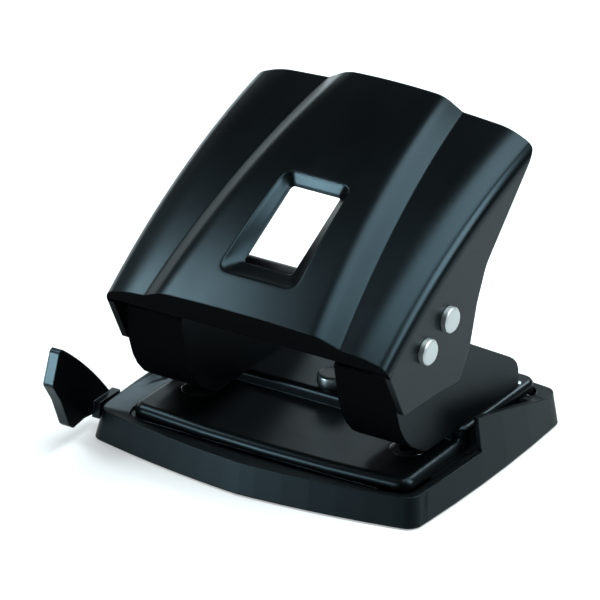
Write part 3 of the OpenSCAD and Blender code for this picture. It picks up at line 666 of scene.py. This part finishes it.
def lever_mesh():
    """The lever's outer face as one skin, open below. What faces down, the front flange among it,
    gets the second finish, which is painted shade on the flange.
    """
    same_place, no_length, facing_down, bore_points, least_hang = 5e-6, 1e-6, -0.25, 40, 0.5
    skin = LeverSkin()
    right_side, left_side = skin.columns(1), skin.columns(-1)
    skin.add(right_side)
    skin.add([row[::-1] for row in left_side])

    # the crown, between its four edges and the window
    rear_row = skin.crown_row(right_side[0][0].x, 0)
    front_row = skin.crown_row(right_side[-1][0].x, 1)
    skin.add(skin.window_rings([row[0] for row in left_side[::-1]] + rear_row[::-1]
                               + [row[0] for row in right_side] + front_row))

    # the front flange, hanging from the front end of every row, its sides on the skirts
    levels = skin.section_straight
    turned = len(right_side[-1]) - levels - 1
    top = right_side[-1][:turned][::-1] + front_row + left_side[-1][:turned]
    flange = []
    for level in range(levels + 1):
        row = []
        for point in top:
            low = min(skin.flange_low, point.z - least_hang)
            z = point.z + (low - point.z) * level / levels
            row.append(Vector((point.x, skin.front_at(z), z)))
        flange.append([right_side[-1][turned + level]] + row + [left_side[-1][turned + level]])
    skin.add(flange)

    mesh = bpy.data.meshes.new("lever_shell")
    mesh.from_pydata([point / 1000 for point in skin.points], [], skin.faces)
    build = bmesh.new()
    build.from_mesh(mesh)
    bmesh.ops.remove_doubles(build, verts=build.verts, dist=same_place)
    bmesh.ops.dissolve_degenerate(build, edges=build.edges, dist=no_length)

    # the skirts: flat cheeks below the crease, with a bore for each pin
    for side, columns in ((-1, left_side), (1, right_side)):
        edge_x = side * skin.half
        crease = [row[-1] for row in columns]
        line = [(crease[-1].y, crease[-1].z), (skin.front_at(skin.skirt_low), skin.skirt_low),
                *skin.skirt_line, skin.rear_line[0], (crease[0].y, crease[0].z)]
        rim = rounded(line, skin.skirt_radii, arc=6, straight=2)[1:-1]
        edges = closed_edges(build, [Vector((edge_x, y, z)) for y, z in rim] + crease)
        for y, z, radius in skin.bores:
            turns = (2 * pi * i / bore_points for i in range(bore_points))
            edges += closed_edges(build, [Vector((edge_x, y + radius * cos(turn),
                                                  z + radius * sin(turn))) for turn in turns])
        bmesh.ops.triangle_fill(build, edges=edges, use_beauty=True, normal=(side, 0, 0))
    bmesh.ops.remove_doubles(build, verts=build.verts, dist=same_place)
    bmesh.ops.recalc_face_normals(build, faces=build.faces)
    for face in build.faces:
        face.material_index = 1 if face.normal.z < facing_down else 0
    build.to_mesh(mesh)
    build.free()
    return mesh


def lever_piece(satin, matt):
    """The skin gets its wall and its two ribs, and every edge a small roll."""
    lever, sharp_turn = LeverSkin(), radians(35)
    skin = bpy.data.objects.new("lever_skin", lever_mesh())
    for material in (satin, matt):
        skin.data.materials.append(material)
    bpy.context.scene.collection.objects.link(skin)
    wall = skin.modifiers.new("wall", "SOLIDIFY")
    wall.thickness = lever.wall / 1000
    wall.offset = -1.0
    wall.material_offset = 1
    shell = evaluated_mesh(skin)
    build = bmesh.new()
    build.from_mesh(shell)
    for middle in (-lever.rib_x, lever.rib_x):
        rows = [[build.verts.new(point / 1000) for point in row] for row in lever.rib_rows(middle)]
        rib = [build.faces.new((low[i], low[(i + 1) % 4], high[(i + 1) % 4], high[i]))
               for low, high in zip(rows, rows[1:]) for i in range(4)]
        rib += [build.faces.new(rows[0][::-1]), build.faces.new(rows[-1])]
        for face in rib:
            face.material_index = 1
    bmesh.ops.recalc_face_normals(build, faces=build.faces)
    build.to_mesh(shell)
    build.free()
    shell.name = "lever_shell"
    shell.shade_smooth()
    shell.set_sharp_from_angle(angle=sharp_turn)
    piece = bpy.data.objects.new("lever_shell", shell)
    bpy.context.scene.collection.objects.link(piece)
    roll = piece.modifiers.new("rolled edges", "BEVEL")
    roll.width, roll.segments = 0.0005, 3
    roll.limit_method, roll.angle_limit = "ANGLE", sharp_turn
    roll.harden_normals = True
    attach(piece, "lever")
    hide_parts("lever")


lever_black = black_moulding("lever_black", sheen=0.30, grain=0.00025, gloss=0.31,
                             polished=("Y", 0.0, 0.05))
# Matt for the inside; on the front flange, which faces down, it is painted shade.
lever_matt_and_shade = black_moulding("lever_matt_and_shade", sheen=0.55, grain=0.0003, gloss=0.02)
lever_piece(lever_black, lever_matt_and_shade)


# ---- floor, lights and camera -----------------------------------------------------------------
# A plain pale sweep that glows a little, as over a light table, a few soft boxes, and a camera
# from the front right, a little above.

paper = Finish("pale_floor")
cloud = paper.noise(size=0.5, detail=2.0)
pale_paper = paper.surface(
    Base_Color=paper.mix(cloud, (0.44, 0.45, 0.45), (0.46, 0.47, 0.47)),
    Roughness=0.85 + cloud * 0.05, Specular_IOR_Level=0.1,
    Emission_Color=(1.0, 1.0, 1.0, 1.0), Emission_Strength=0.40)
reach = 6.0
sweep = bpy.data.meshes.new("floor")
sweep.from_pydata([(-reach, -reach, 0), (reach, -reach, 0), (reach, reach, 0), (-reach, reach, 0)],
                  [], [(0, 1, 2, 3)])
sweep.materials.append(pale_paper)
floor = bpy.data.objects.new("floor", sweep)
bpy.context.scene.collection.objects.link(floor)


def placed(thing, at, right, up, back):
    """Puts a lamp or the camera in its place, facing away from back."""
    thing.matrix_world = Matrix.Translation(at) @ Matrix((right, up, back)).transposed().to_4x4()
    bpy.context.scene.collection.objects.link(thing)


def soft_box(name, at, along, width, height, radiance):
    """An even lamp that faces the punch. Its width lies as nearly as it can along a direction."""
    punch_middle = Vector((0.0, 0.01, 0.05))
    lamp = bpy.data.lights.new(name, "AREA")
    lamp.shape = "RECTANGLE"
    lamp.size, lamp.size_y = width, height
    lamp.energy = radiance * width * height * pi
    lamp.color = (0.88, 0.97, 1.0)
    facing = (Vector(at) - punch_middle).normalized()
    across = (Vector(along) - facing * facing.dot(Vector(along))).normalized()
    placed(bpy.data.objects.new(name, lamp), at, across, facing.cross(across), facing)


for name, at, along, width, height, radiance in (
        ("over_front_left", (-0.88, -0.28, 1.0), (0, 1, 0), 0.4, 0.6, 15.0),
        ("over_right", (0.19, 0.12, 1.05), (0, 1, 0), 0.9, 0.56, 8.0),
        ("left_back", (-0.95, 0.60, 0.20), (1, 2, 0), 1.1, 0.32, 2.6),
        ("rear_left", (-0.62, 0.95, 0.60), (2, 1, 0), 0.6, 0.3, 1.9),
        ("rear", (0.05, 1.0, 0.85), (1, 0, 0), 0.5, 0.4, 14.0),
        ("front_left", (-0.62, -1.1, 0.27), (2, -1, 0), 0.34, 0.28, 34.0),
        ("right", (0.92, 0.26, 0.78), (0, 1, 0), 0.5, 0.6, 15.0)):
    soft_box(name, at, along, width, height, radiance)

world = bpy.data.worlds.new("studio")
world.use_nodes = True
room = world.node_tree.nodes["Background"].inputs
room["Color"].default_value = (0.85, 0.93, 1.0, 1.0)
room["Strength"].default_value = 0.05
bpy.context.scene.world = world

azimuth, elevation, distance = radians(32.7), radians(25.66), 2.58
aim = Vector((-0.00709, 0.0092, 0.04765))
right = Vector((cos(azimuth), sin(azimuth), 0.0))
back = Vector((sin(azimuth) * cos(elevation), -cos(azimuth) * cos(elevation), sin(elevation)))
lens = bpy.data.cameras.new("camera")
lens.sensor_width, lens.lens = 36.0, 480.0
camera = bpy.data.objects.new("camera", lens)
placed(camera, aim + back * distance, right, back.cross(right), back)
bpy.context.scene.camera = camera
bpy.context.scene.view_settings.view_transform = "Standard"
bpy.context.scene.view_settings.gamma = 0.82
